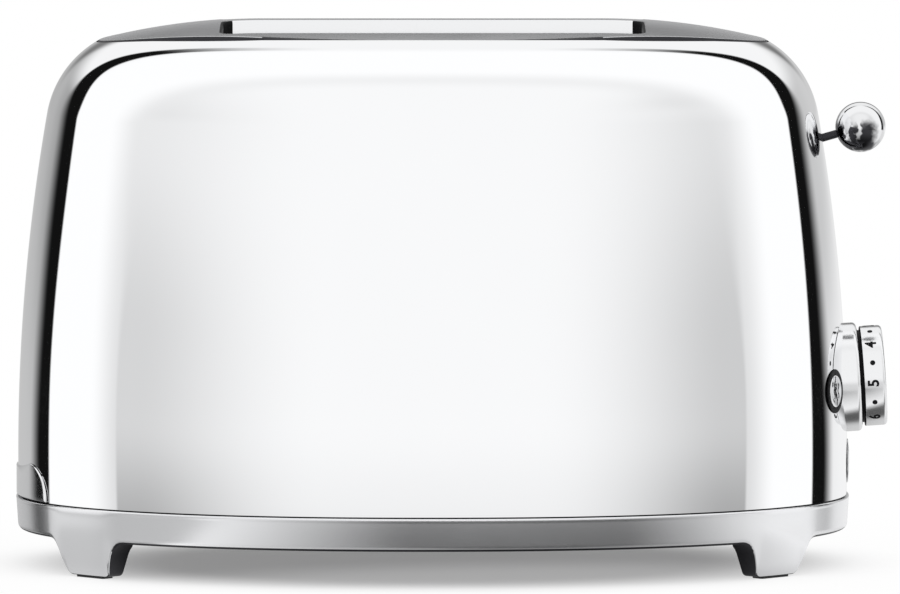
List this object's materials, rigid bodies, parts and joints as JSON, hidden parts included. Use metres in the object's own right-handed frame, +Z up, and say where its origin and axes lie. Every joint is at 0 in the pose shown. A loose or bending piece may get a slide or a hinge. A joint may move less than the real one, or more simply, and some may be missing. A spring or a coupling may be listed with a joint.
{
  "type": "toaster",
  "caption": "Retro toaster with a bulged mirror-steel body, long bread slots, ball lever, browning dial, programme buttons, slide-out crumb tray and a base on short legs.",
  "frame": {"origin": "on the standing plane, below the middle of the body in plan", "axes": "+X towards the end with the lever and dial, -Y towards the front, +Z up"},
  "size_m": [0.3221, 0.1958, 0.2005],
  "materials": {
    "mirror_steel": "mirror polished",
    "satin_steel": "satin",
    "cast_base": "satin",
    "chrome": "polished",
    "satin_chrome": "satin",
    "rubber": "matt",
    "black_plastic": "matt",
    "grey_plastic": "matt",
    "zinc_sheet": "galvanised",
    "dark_sheet": "satin",
    "wire_steel": "bright",
    "mica": "satin",
    "ribbon": "dull",
    "spring_steel": "bright",
    "brass": "satin",
    "copper_coil": "lacquered",
    "circuit_board": "satin",
    "white_ceramic": "matt"
  },
  "bodies": {
    "body": {"outer_shell": "mirror_steel", "top_panel": "satin_steel", "base_skirt": "cast_base", "foot_pads": "rubber", "base_plate": "grey_plastic", "base_screws": "zinc_sheet", "cable_inlet": "black_plastic", "terminal_block": "white_ceramic", "lever_end_wall": "zinc_sheet", "tray_end_wall": "zinc_sheet", "front_heat_shield": "zinc_sheet", "rear_heat_shield": "zinc_sheet", "front_heater_board": "mica", "centre_heater_board": "mica", "rear_heater_board": "mica", "front_heater_ribbon": "ribbon", "centre_heater_ribbon": "ribbon", "rear_heater_ribbon": "ribbon", "guide_rod": "wire_steel", "return_spring": "spring_steel", "latch_core": "dark_sheet", "latch_coil": "copper_coil", "dial_bezel": "satin_chrome", "potentiometer": "grey_plastic", "control_board": "circuit_board", "board_bracket": "grey_plastic", "defrost_housing": "black_plastic", "reheat_housing": "black_plastic", "bagel_housing": "black_plastic", "defrost_switch": "black_plastic", "reheat_switch": "black_plastic", "bagel_switch": "black_plastic", "front_tray_runner": "zinc_sheet", "rear_tray_runner": "zinc_sheet"},
    "carriage": {"carriage": "zinc_sheet", "carriage_bush": "brass", "latch_keeper": "dark_sheet", "lever_rod": "chrome", "lever_ball": "chrome", "bread_rack_front": "wire_steel", "bread_rack_rear": "wire_steel"},
    "dial": {"dial_drum": "satin_chrome", "dial_shaft": "zinc_sheet"},
    "defrost_key": {"defrost_button": "chrome"},
    "reheat_key": {"reheat_button": "chrome"},
    "bagel_key": {"bagel_button": "chrome"},
    "tray": {"crumb_tray": "zinc_sheet", "tray_handle": "satin_steel"},
    "guard_front_outer_cage": {"guard_front_outer": "wire_steel"},
    "guard_front_inner_cage": {"guard_front_inner": "wire_steel"},
    "guard_rear_inner_cage": {"guard_rear_inner": "wire_steel"},
    "guard_rear_outer_cage": {"guard_rear_outer": "wire_steel"}
  },
  "joints": [
    {"name": "lever_slide", "type": "slide", "parent": "body", "child": "carriage", "axis": [0, 0, -1], "range_m": [0, 0.034], "stiffness_N_per_m": 120, "springref_m": -0.03, "deforming": ["return_spring"]},
    {"name": "dial_turn", "type": "hinge", "parent": "body", "child": "dial", "pos_m": [0.15205, 0, 0.0684], "axis": [-0.9979, 0, -0.0645], "range_deg": [-94, 141]},
    {"name": "tray_slide", "type": "slide", "parent": "body", "child": "tray", "axis": [-1, 0, 0], "range_m": [0, 0.2]},
    {"name": "defrost_press", "type": "slide", "parent": "body", "child": "defrost_key", "axis": [-0.93, 0.3658, -0.0353], "range_m": [0, 0.0015], "stiffness_N_per_m": 300, "springref_m": -0.001},
    {"name": "reheat_press", "type": "slide", "parent": "body", "child": "reheat_key", "axis": [-0.93, -0.3658, -0.0353], "range_m": [0, 0.0015], "stiffness_N_per_m": 300, "springref_m": -0.001},
    {"name": "bagel_press", "type": "slide", "parent": "body", "child": "bagel_key", "axis": [-1, 0, 0.0033], "range_m": [0, 0.0015], "stiffness_N_per_m": 300, "springref_m": -0.001},
    {"name": "guard_front_outer_lean", "type": "hinge", "parent": "body", "child": "guard_front_outer_cage", "pos_m": [0, -0.042, 0.049], "axis": [-1, 0, 0], "range_deg": [0, 4.6]},
    {"name": "guard_front_inner_lean", "type": "hinge", "parent": "body", "child": "guard_front_inner_cage", "pos_m": [0, -0.008, 0.049], "axis": [1, 0, 0], "range_deg": [0, 4.6]},
    {"name": "guard_rear_inner_lean", "type": "hinge", "parent": "body", "child": "guard_rear_inner_cage", "pos_m": [0, 0.008, 0.049], "axis": [-1, 0, 0], "range_deg": [0, 4.6]},
    {"name": "guard_rear_outer_lean", "type": "hinge", "parent": "body", "child": "guard_rear_outer_cage", "pos_m": [0, 0.042, 0.049], "axis": [1, 0, 0], "range_deg": [0, 4.6]}
  ],
  "couplings": [
    {"joint": "guard_front_outer_lean", "follows": "lever_slide", "rad_per_m": 2.31},
    {"joint": "guard_front_inner_lean", "follows": "lever_slide", "rad_per_m": 2.31},
    {"joint": "guard_rear_inner_lean", "follows": "lever_slide", "rad_per_m": 2.31},
    {"joint": "guard_rear_outer_lean", "follows": "lever_slide", "rad_per_m": 2.31}
  ]
}
